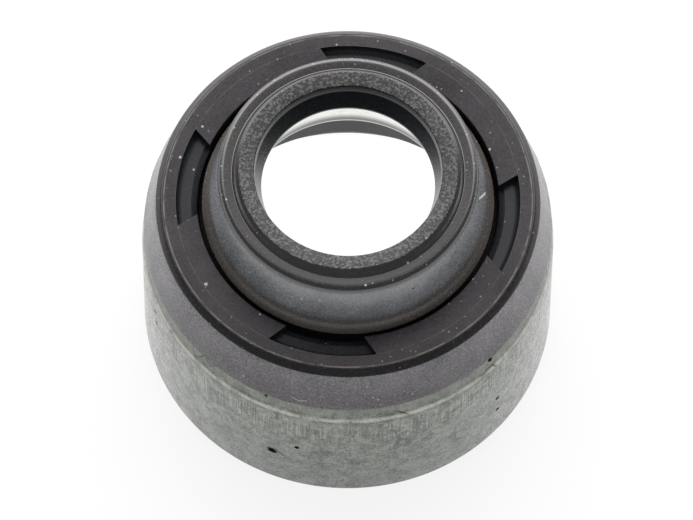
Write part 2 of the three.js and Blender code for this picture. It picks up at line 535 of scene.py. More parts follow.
@dataclass(frozen=True)
class RubberFinish:
    """Black moulded rubber with a grey bloom, fine grain, pale dust and small pits.

    Shares and strengths run from 0 to 1, scales are waves per metre, and heights and widths are
    millimetres. The foot and the crest tint the low and the high end of a region.
    """

    CLOUD_SCALE: ClassVar[float] = 520.0
    BREAK_SCALE: ClassVar[float] = 1500.0
    SMALL_DUST: ClassVar[tuple[float, float]] = (3600.0, 0.15)
    LARGE_DUST: ClassVar[tuple[float, float]] = (1500.0, 0.085)
    PITS: ClassVar[tuple[float, float]] = (900.0, 0.065)
    PIT_SHIFT: ClassVar[tuple[float, float, float]] = (0.013, 0.007, 0.003)
    PIT_COLOUR: ClassVar[Colour] = (0.0015, 0.0015, 0.002)
    RELIEF: ClassVar[float] = 0.00002

    name: str
    black: Colour = (0.012, 0.012, 0.014)
    bloom: Colour = (0.060, 0.059, 0.062)
    bloom_share: float = 0.5
    bloom_contrast: float = 0.25
    roughness: float = 0.3
    grain: float = 0.16
    grain_scale: float = 9000.0
    sparkle: float = 0.0
    dust: float = 0.25
    dust_colour: Colour = (0.58, 0.53, 0.45)
    pits: float = 0.06
    bump: float = 0.25
    specular: float = 0.5
    index: float = 1.6
    foot: float = 0.0
    foot_height: float = 0.0
    foot_rise: float = 0.0
    foot_colour: Colour = (0.002, 0.0022, 0.003)
    crest: float = 0.0
    crest_height: float = 0.0
    crest_rise: float = 0.0
    lines: tuple[tuple[float, float, float], ...] = ()
    pale_spots: tuple[Spot, ...] = ()
    dark_spots: tuple[Spot, ...] = ()
    pale_marks: tuple[tuple[Spot, Spot], ...] = ()
    dark_marks: tuple[tuple[Spot, Spot], ...] = ()

    def build(self, patterns: Patterns) -> bpy.types.Material:
        """Wire the finish.

        Args:
            patterns: The shared groups.

        Returns:
            The material.
        """
        material, wiring, shader, where = begin_material(self.name)
        place = wiring.use(patterns.place, Vector=where)
        cloud = wiring.noise(where, self.CLOUD_SCALE, 4.0)
        fine = wiring.noise(where, self.grain_scale, 2.0, 0.7)
        share = wiring.math(
            "ADD",
            self.bloom_share,
            wiring.math(
                "ADD",
                wiring.math("MULTIPLY", wiring.math("SUBTRACT", cloud, 0.5), 2.0 * self.bloom_contrast),
                wiring.math("MULTIPLY", wiring.math("SUBTRACT", fine, 0.5), 6.0 * self.grain),
            ),
            clamp=True,
        )
        colour = wiring.blend(share, self.black, self.bloom)
        if self.sparkle > 0.0:
            sand = wiring.noise(where, 2.2 * self.grain_scale, 1.0, 0.5)
            grains = wiring.math("MULTIPLY", wiring.ease(sand, 0.56, 0.72), self.sparkle)
            colour = wiring.blend(grains, colour, self.dust_colour)
        if self.foot > 0.0:
            foot_end = self.foot_height + self.foot_rise
            fall = wiring.ease(place.outputs["Height"], self.foot_height, foot_end, self.foot, 0.0)
            colour = wiring.blend(fall, colour, self.foot_colour)
        if self.crest > 0.0:
            crest_end = self.crest_height + self.crest_rise
            rise = wiring.ease(place.outputs["Height"], self.crest_height, crest_end, 0.0, self.crest)
            colour = wiring.blend(rise, colour, self.black)
        for radius, width, strength in self.lines:
            line = wiring.band(place.outputs["Radius"], radius, width, width)
            broken = wiring.ease(wiring.noise(where, self.BREAK_SCALE, 3.0), 0.35, 0.6, 0.25, 1.0)
            target = self.dust_colour if strength > 0.0 else self.foot_colour
            drawn = wiring.math("MULTIPLY", wiring.math("MULTIPLY", line, broken), abs(strength))
            colour = wiring.blend(drawn, colour, target)
        scale, size = self.SMALL_DUST
        small = wiring.use(patterns.specks, Vector=where, Scale=scale, Size=size, Share=0.8 * self.dust)
        scale, size = self.LARGE_DUST
        large = wiring.use(patterns.specks, Vector=where, Scale=scale, Size=size, Share=self.dust)
        dots = wiring.math("MAXIMUM", wiring.math("MULTIPLY", small.outputs[0], 0.5), large.outputs[0])
        dots = wiring.math("MAXIMUM", dots, cover_spots(wiring, patterns, where, self.pale_spots))
        dots = wiring.math("MAXIMUM", dots, cover_marks(wiring, patterns, where, self.pale_marks))
        colour = wiring.blend(dots, colour, self.dust_colour)
        moved = wiring.vector("ADD", where, self.PIT_SHIFT).outputs[0]
        scale, size = self.PITS
        holes = wiring.use(patterns.specks, Vector=moved, Scale=scale, Size=size, Share=self.pits)
        placed = cover_spots(wiring, patterns, where, self.dark_spots)
        dark = wiring.math("MAXIMUM", holes.outputs[0], placed)
        dark = wiring.math("MAXIMUM", dark, cover_marks(wiring, patterns, where, self.dark_marks))
        colour = wiring.blend(dark, colour, self.PIT_COLOUR)
        wiring.feed(shader.inputs["Base Color"], colour)
        rough = wiring.math(
            "ADD", self.roughness, wiring.math("MULTIPLY", wiring.math("SUBTRACT", fine, 0.5), 0.25)
        )
        rough = wiring.math("MAXIMUM", rough, wiring.math("MULTIPLY", dots, 0.7), clamp=True)
        wiring.feed(shader.inputs["Roughness"], rough)
        shader.inputs["IOR"].default_value = self.index
        shader.inputs["Specular IOR Level"].default_value = self.specular
        height = wiring.math("ADD", fine, wiring.math("MULTIPLY", dots, 0.8))
        height = wiring.math("SUBTRACT", height, wiring.math("MULTIPLY", dark, 1.5))
        bump = wiring.add("ShaderNodeBump")
        bump.inputs["Strength"].default_value = self.bump
        bump.inputs["Distance"].default_value = self.RELIEF
        wiring.feed(bump.inputs["Height"], height)
        wiring.feed(shader.inputs["Normal"], bump.outputs[0])
        return material


@dataclass(frozen=True)
class SteelFinish:
    """Pressed steel: dull phosphated skin with draw lines, scuffs and pits, or a bright wiped face.

    Shares and strengths run from 0 to 1, scales are waves per metre, and heights are millimetres. Painted
    light and shade: a highlight band round the shoulder bend, a lighter shoulder top, a darker skirt foot,
    and on the bright face a shade band and a highlight line.
    """

    BROAD_SCALE: ClassVar[float] = 1500.0
    FINE_SCALE: ClassVar[float] = 11000.0
    DRAWN_SCALE: ClassVar[float] = 13000.0
    DRAWN_STRETCH: ClassVar[tuple[float, float, float]] = (1.0, 1.0, 0.03)
    RAGGED_SCALE: ClassVar[float] = 900.0
    HIGHLIGHT_BREAK_SCALE: ClassVar[float] = 1400.0
    SCUFF_STRETCH: ClassVar[tuple[float, float, float]] = (1.0, 1.0, 0.55)
    SCUFF_SCALE: ClassVar[float] = 620.0
    FLECK_SCALE: ClassVar[float] = 5200.0
    PATCH_SCALE: ClassVar[float] = 800.0
    SCUFF_COLOUR: ClassVar[Colour] = (0.012, 0.015, 0.013)
    PITS: ClassVar[tuple[float, float]] = (800.0, 0.06)
    PIT_COLOUR: ClassVar[Colour] = (0.002, 0.002, 0.0025)
    RELIEF: ClassVar[float] = 0.00003

    name: str
    dark: Colour = (0.045, 0.055, 0.046)
    light: Colour = (0.225, 0.238, 0.207)
    roughness: float = 0.2
    mottle: float = 1.0
    # The next three fields draw a painted highlight band round the shoulder bend; its colour also tints the
    # pale draw lines.
    bend_highlight: float = 0.0
    bend_highlight_height: float = 7.42
    highlight_and_pale_line_colour: Colour = (0.46, 0.45, 0.42)
    draw_lines: float = 0.0
    draw_top: float = 6.9
    draw_foot: float = 5.3
    scuffs: float = 0.0
    pits: float = 0.0
    spots: tuple[Spot, ...] = ()
    bump: float = 0.3
    # Painted shade towards the skirt's foot, and painted light on the shoulder's top.
    foot_shade: float = 0.0
    foot_top: float = 6.5
    top_painted_light: float = 0.0
    painted_light_from: float = 7.5
    painted_light_to: float = 7.9
    # A band of painted shade below a height, standing for the dark lining mirrored in the bright face, and a
    # painted highlight line.
    shade_from: float = 0.0
    shade_to: float = 0.0
    shade: Colour = (0.15, 0.15, 0.15)
    glint_height: float = 0.0
    glint: Colour = (0.45, 0.44, 0.42)

    def build(self, patterns: Patterns) -> bpy.types.Material:
        """Wire the finish.

        Args:
            patterns: The shared groups.

        Returns:
            The material.
        """
        material, wiring, shader, where = begin_material(self.name)
        height = wiring.use(patterns.place, Vector=where).outputs["Height"]
        broad = wiring.noise(where, self.BROAD_SCALE, 6.0, 0.75)
        fine = wiring.noise(where, self.FINE_SCALE, 2.0, 0.7)
        share = wiring.math(
            "ADD",
            wiring.ease(broad, 0.34, 0.66, 0.5 - 0.35 * self.mottle, 0.5 + 0.35 * self.mottle),
            wiring.math("MULTIPLY", wiring.math("SUBTRACT", fine, 0.5), 2.6 * self.mottle),
            clamp=True,
        )
        colour = wiring.blend(share, self.dark, self.light)
        # Painted shade darkens the skirt towards its foot, and painted light lightens the shoulder's top.
        if self.foot_shade > 0.0:
            shaded = wiring.ease(height, 0.0, self.foot_top, self.foot_shade, 0.0)
            colour = wiring.blend(shaded, colour, self.dark)
        if self.top_painted_light > 0.0:
            painted_light = wiring.ease(height, self.painted_light_from, self.painted_light_to, 0.0, self.top_painted_light)
            colour = wiring.blend(painted_light, colour, self.light)
        drawn = wiring.noise(wiring.stretch(where, self.DRAWN_STRETCH), self.DRAWN_SCALE, 1.0, 0.5)
        waves = wiring.noise(where, self.RAGGED_SCALE, 4.0)
        ragged = wiring.math("MULTIPLY", wiring.math("SUBTRACT", waves, 0.5), 1.6)
        level = wiring.math("ADD", height, ragged)
        zone = wiring.math(
            "MULTIPLY",
            wiring.ease(level, self.draw_foot - 0.15, self.draw_foot + 0.15),
            wiring.ease(height, self.draw_top, self.draw_top + 0.25, 1.0, 0.0),
        )
        lined = wiring.math("MULTIPLY", wiring.ease(drawn, 0.3, 0.7, -1.0, 1.0), zone)
        lift = wiring.math("MULTIPLY", lined, self.draw_lines)
        gleam = wiring.math("MULTIPLY", wiring.math("MAXIMUM", lift, 0.0), 0.4)
        colour = wiring.blend(gleam, colour, self.highlight_and_pale_line_colour)
        dull = wiring.math("MAXIMUM", wiring.math("MULTIPLY", lift, -1.0), 0.0)
        colour = wiring.blend(dull, colour, self.dark)
        # Painted highlight: a pale band round the top of the shoulder bend, broken into patches.
        if self.bend_highlight > 0.0:
            highlight_band = wiring.band(height, self.bend_highlight_height, 0.06, 0.2)
            patchy = wiring.ease(wiring.noise(where, self.HIGHLIGHT_BREAK_SCALE, 4.0), 0.3, 0.6, 0.45, 1.0)
            highlight_band = wiring.math("MULTIPLY", wiring.math("MULTIPLY", highlight_band, patchy), self.bend_highlight)
            colour = wiring.blend(highlight_band, colour, self.highlight_and_pale_line_colour)
        # Painted shade below a height on the bright face, a painted reflection of the dark lining, and a
        # painted highlight line at the glint height.
        if self.shade_to > 0.0:
            clear = wiring.ease(height, self.shade_from, self.shade_to)
            colour = wiring.blend(clear, self.shade, colour)
            colour = wiring.blend(wiring.band(height, self.glint_height, 0.1, 0.1), colour, self.glint)
        marks: object = 0.0
        if self.scuffs > 0.0:
            leaning = wiring.stretch(where, self.SCUFF_STRETCH)
            long = wiring.use(
                patterns.scratches, Vector=leaning, Scale=self.SCUFF_SCALE, Width=0.02,
                Share=0.9 * self.scuffs,
            )
            flecks = wiring.ease(wiring.noise(leaning, self.FLECK_SCALE, 4.0, 0.7), 0.55, 0.63)
            patches = wiring.ease(wiring.noise(where, self.PATCH_SCALE, 3.0), 0.42, 0.62, 0.25, 1.0)
            worn = wiring.ease(height, 7.3, 7.7, 0.75, 0.35)
            flecks = wiring.math("MULTIPLY", wiring.math("MULTIPLY", flecks, patches), worn)
            marks = wiring.math("MAXIMUM", long.outputs[0], flecks)
            colour = wiring.blend(wiring.math("MULTIPLY", marks, 0.85), colour, self.SCUFF_COLOUR)
        scale, size = self.PITS
        holes = wiring.use(patterns.specks, Vector=where, Scale=scale, Size=size, Share=self.pits)
        pits = wiring.math("MAXIMUM", holes.outputs[0], cover_spots(wiring, patterns, where, self.spots))
        colour = wiring.blend(pits, colour, self.PIT_COLOUR)
        wiring.feed(shader.inputs["Base Color"], colour)
        shader.inputs["Metallic"].default_value = 1.0
        uneven = wiring.math("MULTIPLY", wiring.math("SUBTRACT", share, 0.5), -0.12)
        rough = wiring.math("ADD", self.roughness, uneven, clamp=True)
        rough = wiring.math("MAXIMUM", rough, pits)
        wiring.feed(shader.inputs["Roughness"], rough)
        grain = wiring.math("MULTIPLY", fine, 0.6)
        relief = wiring.math("ADD", grain, wiring.math("MULTIPLY", lined, 0.4))
        relief = wiring.math("SUBTRACT", relief, wiring.math("MULTIPLY", marks, 0.5))
        relief = wiring.math("SUBTRACT", relief, wiring.math("MULTIPLY", pits, 2.0))
        bump = wiring.add("ShaderNodeBump")
        bump.inputs["Strength"].default_value = self.bump
        bump.inputs["Distance"].default_value = self.RELIEF
        wiring.feed(bump.inputs["Height"], relief)
        wiring.feed(shader.inputs["Normal"], bump.outputs[0])
        return material


class Workshop:
    """Modelling moves that several pieces share."""

    @staticmethod
    def deselect() -> None:
        """Leave edit mode and deselect every object."""
        if bpy.context.object and bpy.context.object.mode != "OBJECT":
            bpy.ops.object.mode_set(mode="OBJECT")
        bpy.ops.object.select_all(action="DESELECT")

    @staticmethod
    def activate(piece: bpy.types.Object) -> None:
        """Select one object alone and make it active.

        Args:
            piece: The object.
        """
        Workshop.deselect()
        piece.select_set(True)
        bpy.context.view_layer.objects.active = piece

    @staticmethod
    def spin(name: str, points: Sequence[Vector], steps: int = SPIN_STEPS) -> bpy.types.Object:
        """Draw a closed profile by extruding one vertex along it, and spin it round Z.

        Args:
            name: Name of the new object.
            points: Profile points in millimetres.
            steps: Facets round the axis.

        Returns:
            The closed solid of revolution.
        """
        Workshop.deselect()
        start = Vector((points[0].x, 0.0, points[0].y)) * MM
        bpy.ops.mesh.primitive_plane_add(size=MM, location=start)
        piece = bpy.context.object
        piece.name = name
        bpy.ops.object.transform_apply(location=True)
        bpy.ops.object.mode_set(mode="EDIT")
        bpy.ops.mesh.select_all(action="SELECT")
        bpy.ops.mesh.merge(type="CENTER")
        for here, there in zip(points, [*points[1:], points[0]]):
            step = Vector((there.x - here.x, 0.0, there.y - here.y)) * MM
            bpy.ops.mesh.extrude_region_move(TRANSFORM_OT_translate={"value": step})
        bpy.ops.mesh.select_all(action="SELECT")
        bpy.ops.mesh.remove_doubles(threshold=WELD)
        bpy.ops.mesh.select_all(action="SELECT")
        bpy.ops.mesh.spin(
            steps=steps, angle=2 * math.pi, center=(0, 0, 0), axis=(0, 0, 1), use_auto_merge=False
        )
        bpy.ops.mesh.select_all(action="SELECT")
        bpy.ops.mesh.remove_doubles(threshold=WELD)
        bpy.ops.mesh.normals_make_consistent(inside=False)
        bpy.ops.object.mode_set(mode="OBJECT")
        return piece

    @staticmethod
    def combine(piece: bpy.types.Object, tool: bpy.types.Object, shape: Shape) -> None:
        """Join a tool to a piece, or cut it out, and remove the tool.

        Args:
            piece: The object that is changed.
            tool: The object that is joined or cut.
            shape: Union, difference or intersection.
        """
        Workshop.activate(piece)
        modifier = piece.modifiers.new(shape.value.lower(), "BOOLEAN")
        modifier.operation = shape.value
        modifier.solver = "EXACT"
        modifier.object = tool
        bpy.ops.object.modifier_apply(modifier=modifier.name)
        bpy.data.objects.remove(tool)

    @staticmethod
    def join(name: str, parts: Sequence[bpy.types.Object]) -> bpy.types.Object:
        """Join several objects into one.

        Args:
            name: Name of the joined object.
            parts: The objects.

        Returns:
            The joined object.
        """
        Workshop.activate(parts[0])
        for part in parts[1:]:
            part.select_set(True)
        if len(parts) > 1:
            bpy.ops.object.join()
        joined = bpy.context.object
        joined.name = name
        return joined

    @staticmethod
    def repeat(piece: bpy.types.Object) -> bpy.types.Object:
        """Copy a piece with a mesh of its own.

        Args:
            piece: The object that is copied.

        Returns:
            The copy, active and selected alone.
        """
        Workshop.activate(piece)
        bpy.ops.object.duplicate(linked=False)
        return bpy.context.object

    @staticmethod
    def smooth(piece: bpy.types.Object, degrees: float = 32.0) -> None:
        """Shade a piece smooth, apart from its sharp edges.

        Args:
            piece: The object.
            degrees: Angle above which an edge stays sharp.
        """
        Workshop.activate(piece)
        bpy.ops.object.shade_smooth_by_angle(angle=math.radians(degrees))
        Workshop.deselect()


@dataclass
class CaseSizes:
    """Sizes of the pressed steel case."""

    skirt_radius: float = 9.5
    skirt_height: float = 7.1
    wall: float = 0.6
    crown_height: float = 9.55
    lean: float = 13.8
    shoulder_bend: float = 1.4
    crown_bend: float = 0.9
    collar_bore: float = 4.87
    collar_top: float = 11.2
    collar_bend: float = 0.8
    hole_count: int = 8
    hole_radius: float = 0.53
    hole_circle: float = 7.5
    edge_round: float = 0.08

    def skin(self, offset: float) -> list[Corner]:
        """Draw the shoulder and crown bends.

        Args:
            offset: How far the line is moved outward.

        Returns:
            The corners, from the skirt up to the crown.
        """
        lean = math.radians(self.lean)
        bend_centre = self.skirt_radius - self.shoulder_bend
        crown_centre = self.crown_height - self.crown_bend
        line = bend_centre + self.shoulder_bend / math.cos(lean)
        crown_radius = (
            line
            - (crown_centre - self.skirt_height) * math.tan(lean)
            - self.crown_bend / math.cos(lean)
        )
        return [
            *arc_corners(
                (bend_centre, self.skirt_height), self.shoulder_bend + offset, 0, self.lean, SHOULDER_STEPS
            ),
            *arc_corners(
                (crown_radius, crown_centre), self.crown_bend + offset, self.lean, 90, BEND_STEPS
            ),
        ]

    def shoulder_radius_at(self, height: float, offset: float) -> float:
        """Find the radius of the leaning shoulder's skin.

        Args:
            height: Height above the skirt's rim.
            offset: How far the skin is moved outward.

        Returns:
            The radius.
        """
        corners = self.skin(offset)
        start, end = corners[SHOULDER_STEPS], corners[SHOULDER_STEPS + 1]
        share = (height - start.height) / (end.height - start.height)
        return start.radius + share * (end.radius - start.radius)


class SteelCase:
    """The pressed steel case, with its phosphated skin and its bright collar."""

    def __init__(self, sizes: CaseSizes) -> None:
        """Keep the sizes that the pressing is built from."""
        self.sizes = sizes

    def profile(self) -> list[Vector]:
        """Draw the section of the pressing.

        Returns:
            Its rounded points.
        """
        s = self.sizes
        outer = s.collar_bore + s.wall
        under = s.crown_height - s.wall
        inside = s.collar_bend - s.wall
        corners = [
            Corner(s.skirt_radius, 0.0, s.edge_round),
            *s.skin(0.0),
            Corner(outer + inside, s.crown_height),
            Corner(outer, s.crown_height + inside),
            Corner(outer, s.collar_top, s.edge_round),
            Corner(s.collar_bore, s.collar_top, s.edge_round),
            *arc_corners(
                (s.collar_bore + s.collar_bend, under + s.collar_bend), s.collar_bend, 180, 270, BEND_STEPS
            ),
            *reversed(s.skin(-s.wall)),
            Corner(s.skirt_radius - s.wall, 0.0, s.edge_round),
        ]
        return rounded(corners)

    def build(self) -> bpy.types.Object:
        """Model the pressing and its moulding holes.

        Returns:
            The finished piece, without materials.
        """
        piece = Workshop.spin("case_pressing", self.profile())
        holes = MouldingHoles(self.sizes).build(self.sizes.hole_radius)
        Workshop.combine(piece, holes, Shape.DIFFERENCE)
        Workshop.smooth(piece)
        return piece


@dataclass
class MouldingHoles:
    """Pegs on the circle of the moulding holes in the crown."""

    sizes: CaseSizes
    facets: int = 32

    def build(self, radius: float) -> bpy.types.Object:
        """Model one peg and copy it round the circle.

        Args:
            radius: Radius of each peg in millimetres.

        Returns:
            All the pegs in one object.
        """
        s = self.sizes
        reach = s.wall / 2
        Workshop.deselect()
        bpy.ops.mesh.primitive_cylinder_add(
            vertices=self.facets,
            radius=radius * MM,
            depth=(s.wall + 2 * reach) * MM,
        )
        first = bpy.context.object
        pegs = [first, *(Workshop.repeat(first) for _ in range(s.hole_count - 1))]
        for index, peg in enumerate(pegs):
            angle = 2 * math.pi * (index + 0.5) / s.hole_count
            peg.location = (
                s.hole_circle * math.cos(angle) * MM,
                s.hole_circle * math.sin(angle) * MM,
                (s.crown_height - s.wall / 2) * MM,
            )
            Workshop.activate(peg)
            bpy.ops.object.transform_apply(location=True)
        return Workshop.join("pegs", pegs)


@dataclass
class PocketSizes:
    """Sizes of the four dovetail pockets in the annulus."""

    count: int = 4
    back_radius: float = 7.9
    depth: float = 0.42
    back_half_angle: float = 18.4
    front_half_angle: float = 14.9
    back_fillet: float = 0.3
    ledge_radius: float = 7.2
    ledge_drop: float = 0.13


@dataclass
class RubberSizes:
    """Sizes of the rubber moulding."""

    case: CaseSizes = field(default_factory=CaseSizes)
    pockets: PocketSizes = field(default_factory=PocketSizes)
    bond_gap: float = 0.03
    cover_edge: float = 8.51
    bevel_height: float = 0.3
    bevel_width: float = 0.26
    annulus_height: float = 11.18
    annulus_outer: float = 8.57
    annulus_bore: float = 6.93
    trench_floor: float = 9.9
    neck_radius: float = 6.2
    base_radius: float = 6.74
    base_height: float = 10.98
    flare_radius: float = 6.4
    flare_height: float = 11.5
    base_undercut: float = 0.45
    rim_radius: float = 5.88
    rim_fillet: float = 0.28
    rim_dish: float = 0.1
    slack: float = 0.02
    edge_height: float = 0.12
    flash_scale: float = 0.5
    flash_depth: float = 0.22
    boss_height: float = 14.09
    ring_radius: float = 4.99
    ring_top: float = 14.33
    ring_dish: float = 0.06
    ledge_width: float = 0.16
    ledge_rise: float = 0.1
    mouth_radius: float = 4.3
    land_radius: float = 4.25
    land_depth: float = 0.52
    lip_radius: float = 3.97
    lip_height: float = 12.65
    lip_thickness: float = 0.12
    relief_height: float = 11.75
    lining_bore: float = 7.5
    lining_foot: float = 2.66
    lining_chamfer: float = 0.35
    lining_flange: float = 0.6
    lining_flange_height: float = 0.3


class RubberBody:
    """The rubber moulding: cover, annulus with pockets, boss, lip and grip lining."""

    def __init__(self, sizes: RubberSizes) -> None:
        """Keep the sizes that the moulding is built from."""
        self.sizes = sizes

    def upper_profile(self) -> list[Vector]:
        """Draw the section of everything above the case.

        Returns:
            Its rounded points.
        """
        s, case = self.sizes, self.sizes.case
        lean = math.radians(case.lean)
        bevel_foot = s.annulus_height - s.bevel_height
        bevel_radius = s.annulus_outer + s.bevel_width
        edge_radius = bevel_radius + (bevel_foot - s.cover_edge) * math.tan(lean)
        collar = case.collar_bore + case.wall + s.bond_gap
        inside = case.collar_bend - case.wall
        crown = case.crown_height + s.bond_gap
        collar_end = case.collar_top + s.bond_gap
        ring_foot = s.ring_radius + 2 * s.ledge_width
        corners = [
            Corner(edge_radius, s.cover_edge, 0.05),
            Corner(bevel_radius, bevel_foot, 0.2),
            Corner(s.annulus_outer, s.annulus_height, 0.15),
            Corner(s.annulus_bore, s.annulus_height, 0.04),
            Corner(s.annulus_bore, s.trench_floor, 0.2),
            Corner(s.neck_radius, s.trench_floor, 0.2),
            Corner(s.neck_radius, s.base_height - s.base_undercut, 0.1),
            Corner(s.base_radius, s.base_height, 0.12),
            Corner(s.flare_radius, s.flare_height, 0.8),
            Corner(s.rim_radius, s.boss_height, s.rim_fillet),
            Corner(ring_foot, s.boss_height - s.rim_dish, 0.05),
            Corner(ring_foot - s.ledge_width, s.boss_height + s.ledge_rise, 0.03),
            Corner(s.ring_radius, s.ring_top, 0.08),
            Corner(s.mouth_radius, s.ring_top - s.ring_dish, 0.06),
            Corner(s.land_radius, s.ring_top - s.land_depth, 0.05),
            Corner(s.lip_radius, s.lip_height + s.lip_thickness / 2, 0.04),
            Corner(s.lip_radius, s.lip_height - s.lip_thickness / 2, 0.04),
            Corner(case.collar_bore, s.relief_height, 0.2),
            Corner(case.collar_bore, collar_end),
            Corner(collar, collar_end),
            Corner(collar, crown + inside),
            Corner(collar + inside, crown),
            *reversed(case.skin(s.bond_gap)[SHOULDER_STEPS + 1:]),
            Corner(case.shoulder_radius_at(s.cover_edge, s.bond_gap), s.cover_edge),
        ]
        return rounded(corners)

    def lining_profile(self) -> list[Vector]:
        """Draw the section of the grip lining.

        Returns:
            Its rounded points.
        """
        s, case = self.sizes, self.sizes.case
        skin = -case.wall - s.bond_gap
        top = case.crown_height - case.wall - s.bond_gap
        flange = s.lining_bore - s.lining_flange
        corners = [
            Corner(s.lining_bore + s.lining_chamfer, s.lining_foot, 0.1),
            Corner(case.skirt_radius + skin, s.lining_foot),
            *case.skin(skin),
            Corner(flange, top),
            Corner(flange, top - s.lining_flange_height, 0.1),
            Corner(s.lining_bore, top - s.lining_flange_height, 0.1),
            Corner(s.lining_bore, s.lining_foot + s.lining_chamfer, 0.1),
        ]
        return rounded(corners)

    def pocket_section(self) -> list[Vector]:
        """Draw the section of a pocket: ledge, floor and fillet at the back.

        Returns:
            Its rounded points.
        """
        s, pocket = self.sizes, self.sizes.pockets
        floor = s.annulus_height - pocket.depth
        above = s.annulus_height + pocket.depth
        in_trench = (s.annulus_bore + s.base_radius) / 2
        corners = [
            Corner(in_trench, floor - pocket.ledge_drop),
            Corner(s.annulus_bore, floor - pocket.ledge_drop, 0.03),
            Corner(pocket.ledge_radius, floor, 0.06),
            Corner(pocket.back_radius, floor, pocket.back_fillet),
            Corner(pocket.back_radius, above),
            Corner(in_trench, above),
        ]
        return rounded(corners)

    def dovetails(self) -> bpy.types.Object:
        """Model one upright dovetail, wider away from the axis, and copy it to every pocket.

        Returns:
            The dovetails in one object.
        """
        s, pocket = self.sizes, self.sizes.pockets
        back, front = math.radians(pocket.back_half_angle), math.radians(pocket.front_half_angle)
        back_x, back_y = pocket.back_radius * math.sin(back), pocket.back_radius * math.cos(back)
        front_x, front_y = s.annulus_bore * math.sin(front), s.annulus_bore * math.cos(front)
        slope = (back_x - front_x) / (back_y - front_y)
        near_y, far_y = front_y - pocket.depth, pocket.back_radius + pocket.depth
        near_x, far_x = front_x - pocket.depth * slope, back_x + (far_y - back_y) * slope
        tall = 4.0 * pocket.depth
        Workshop.deselect()
        bpy.ops.mesh.primitive_cube_add(
            size=MM,
            location=(0.0, (near_y + far_y) / 2 * MM, s.annulus_height * MM),
            scale=(2 * near_x, far_y - near_y, tall),
        )
        first = bpy.context.object
        bpy.ops.object.transform_apply(location=True, scale=True)
        bpy.ops.object.mode_set(mode="EDIT")
        bpy.ops.mesh.select_all(action="DESELECT")
        bpy.ops.mesh.select_mode(type="VERT")
        bpy.ops.object.mode_set(mode="OBJECT")
        middle = (near_y + far_y) / 2 * MM
        for vertex in first.data.vertices:
            vertex.select = vertex.co.y > middle
        bpy.ops.object.mode_set(mode="EDIT")
        bpy.ops.transform.resize(value=(far_x / near_x, 1.0, 1.0), center_override=(0.0, 0.0, 0.0))
        bpy.ops.object.mode_set(mode="OBJECT")
        pieces = [first, *(Workshop.repeat(first) for _ in range(pocket.count - 1))]
        for index, piece in enumerate(pieces):
            piece.rotation_euler.z = 2 * math.pi * index / pocket.count
            Workshop.activate(piece)
            bpy.ops.object.transform_apply(rotation=True)
        return Workshop.join("dovetails", pieces)

    def pocket_cutter(self) -> bpy.types.Object:
        """Model the cutter of all the pockets: the turned section inside the dovetails.

        Returns:
            The cutter.
        """
        ring = Workshop.spin("pocket_cutter", self.pocket_section())
        Workshop.combine(ring, self.dovetails(), Shape.INTERSECT)
        return ring

    def tear_edge(self, piece: bpy.types.Object) -> None:
        """Make the cover's lower edge slightly ragged, as flash leaves it.

        Args:
            piece: The upper moulding.
        """
        low = (self.sizes.cover_edge - self.sizes.slack) * MM
        high = (self.sizes.cover_edge + self.sizes.edge_height) * MM
        edge = piece.vertex_groups.new(name="cover_edge")
        chosen = [vertex.index for vertex in piece.data.vertices if low < vertex.co.z < high]
        edge.add(chosen, 1.0, "REPLACE")
        clouds = bpy.data.textures.new("flash", "CLOUDS")
        clouds.noise_scale = self.sizes.flash_scale * MM
        Workshop.activate(piece)
        bpy.ops.object.modifier_add(type="DISPLACE")
        push = piece.modifiers[-1]
        push.texture = clouds
        push.texture_coords = "LOCAL"
        push.direction = "Z"
        push.vertex_group = "cover_edge"
        push.mid_level = 0.5
        push.strength = self.sizes.flash_depth * MM
        bpy.ops.object.modifier_apply(modifier=push.name)

    def build(self) -> bpy.types.Object:
        """Model the moulding.

        Returns:
            The finished piece, without materials.
        """
        piece = Workshop.spin("rubber_moulding", self.upper_profile())
        Workshop.combine(piece, self.pocket_cutter(), Shape.DIFFERENCE)
        lining = Workshop.spin("lining", self.lining_profile())
        self.tear_edge(piece)
        piece = Workshop.join("rubber_moulding", [piece, lining])
        pegs = MouldingHoles(self.sizes.case).build(self.sizes.case.hole_radius - self.sizes.bond_gap)
        Workshop.combine(piece, pegs, Shape.UNION)
        Workshop.smooth(piece)
        return piece


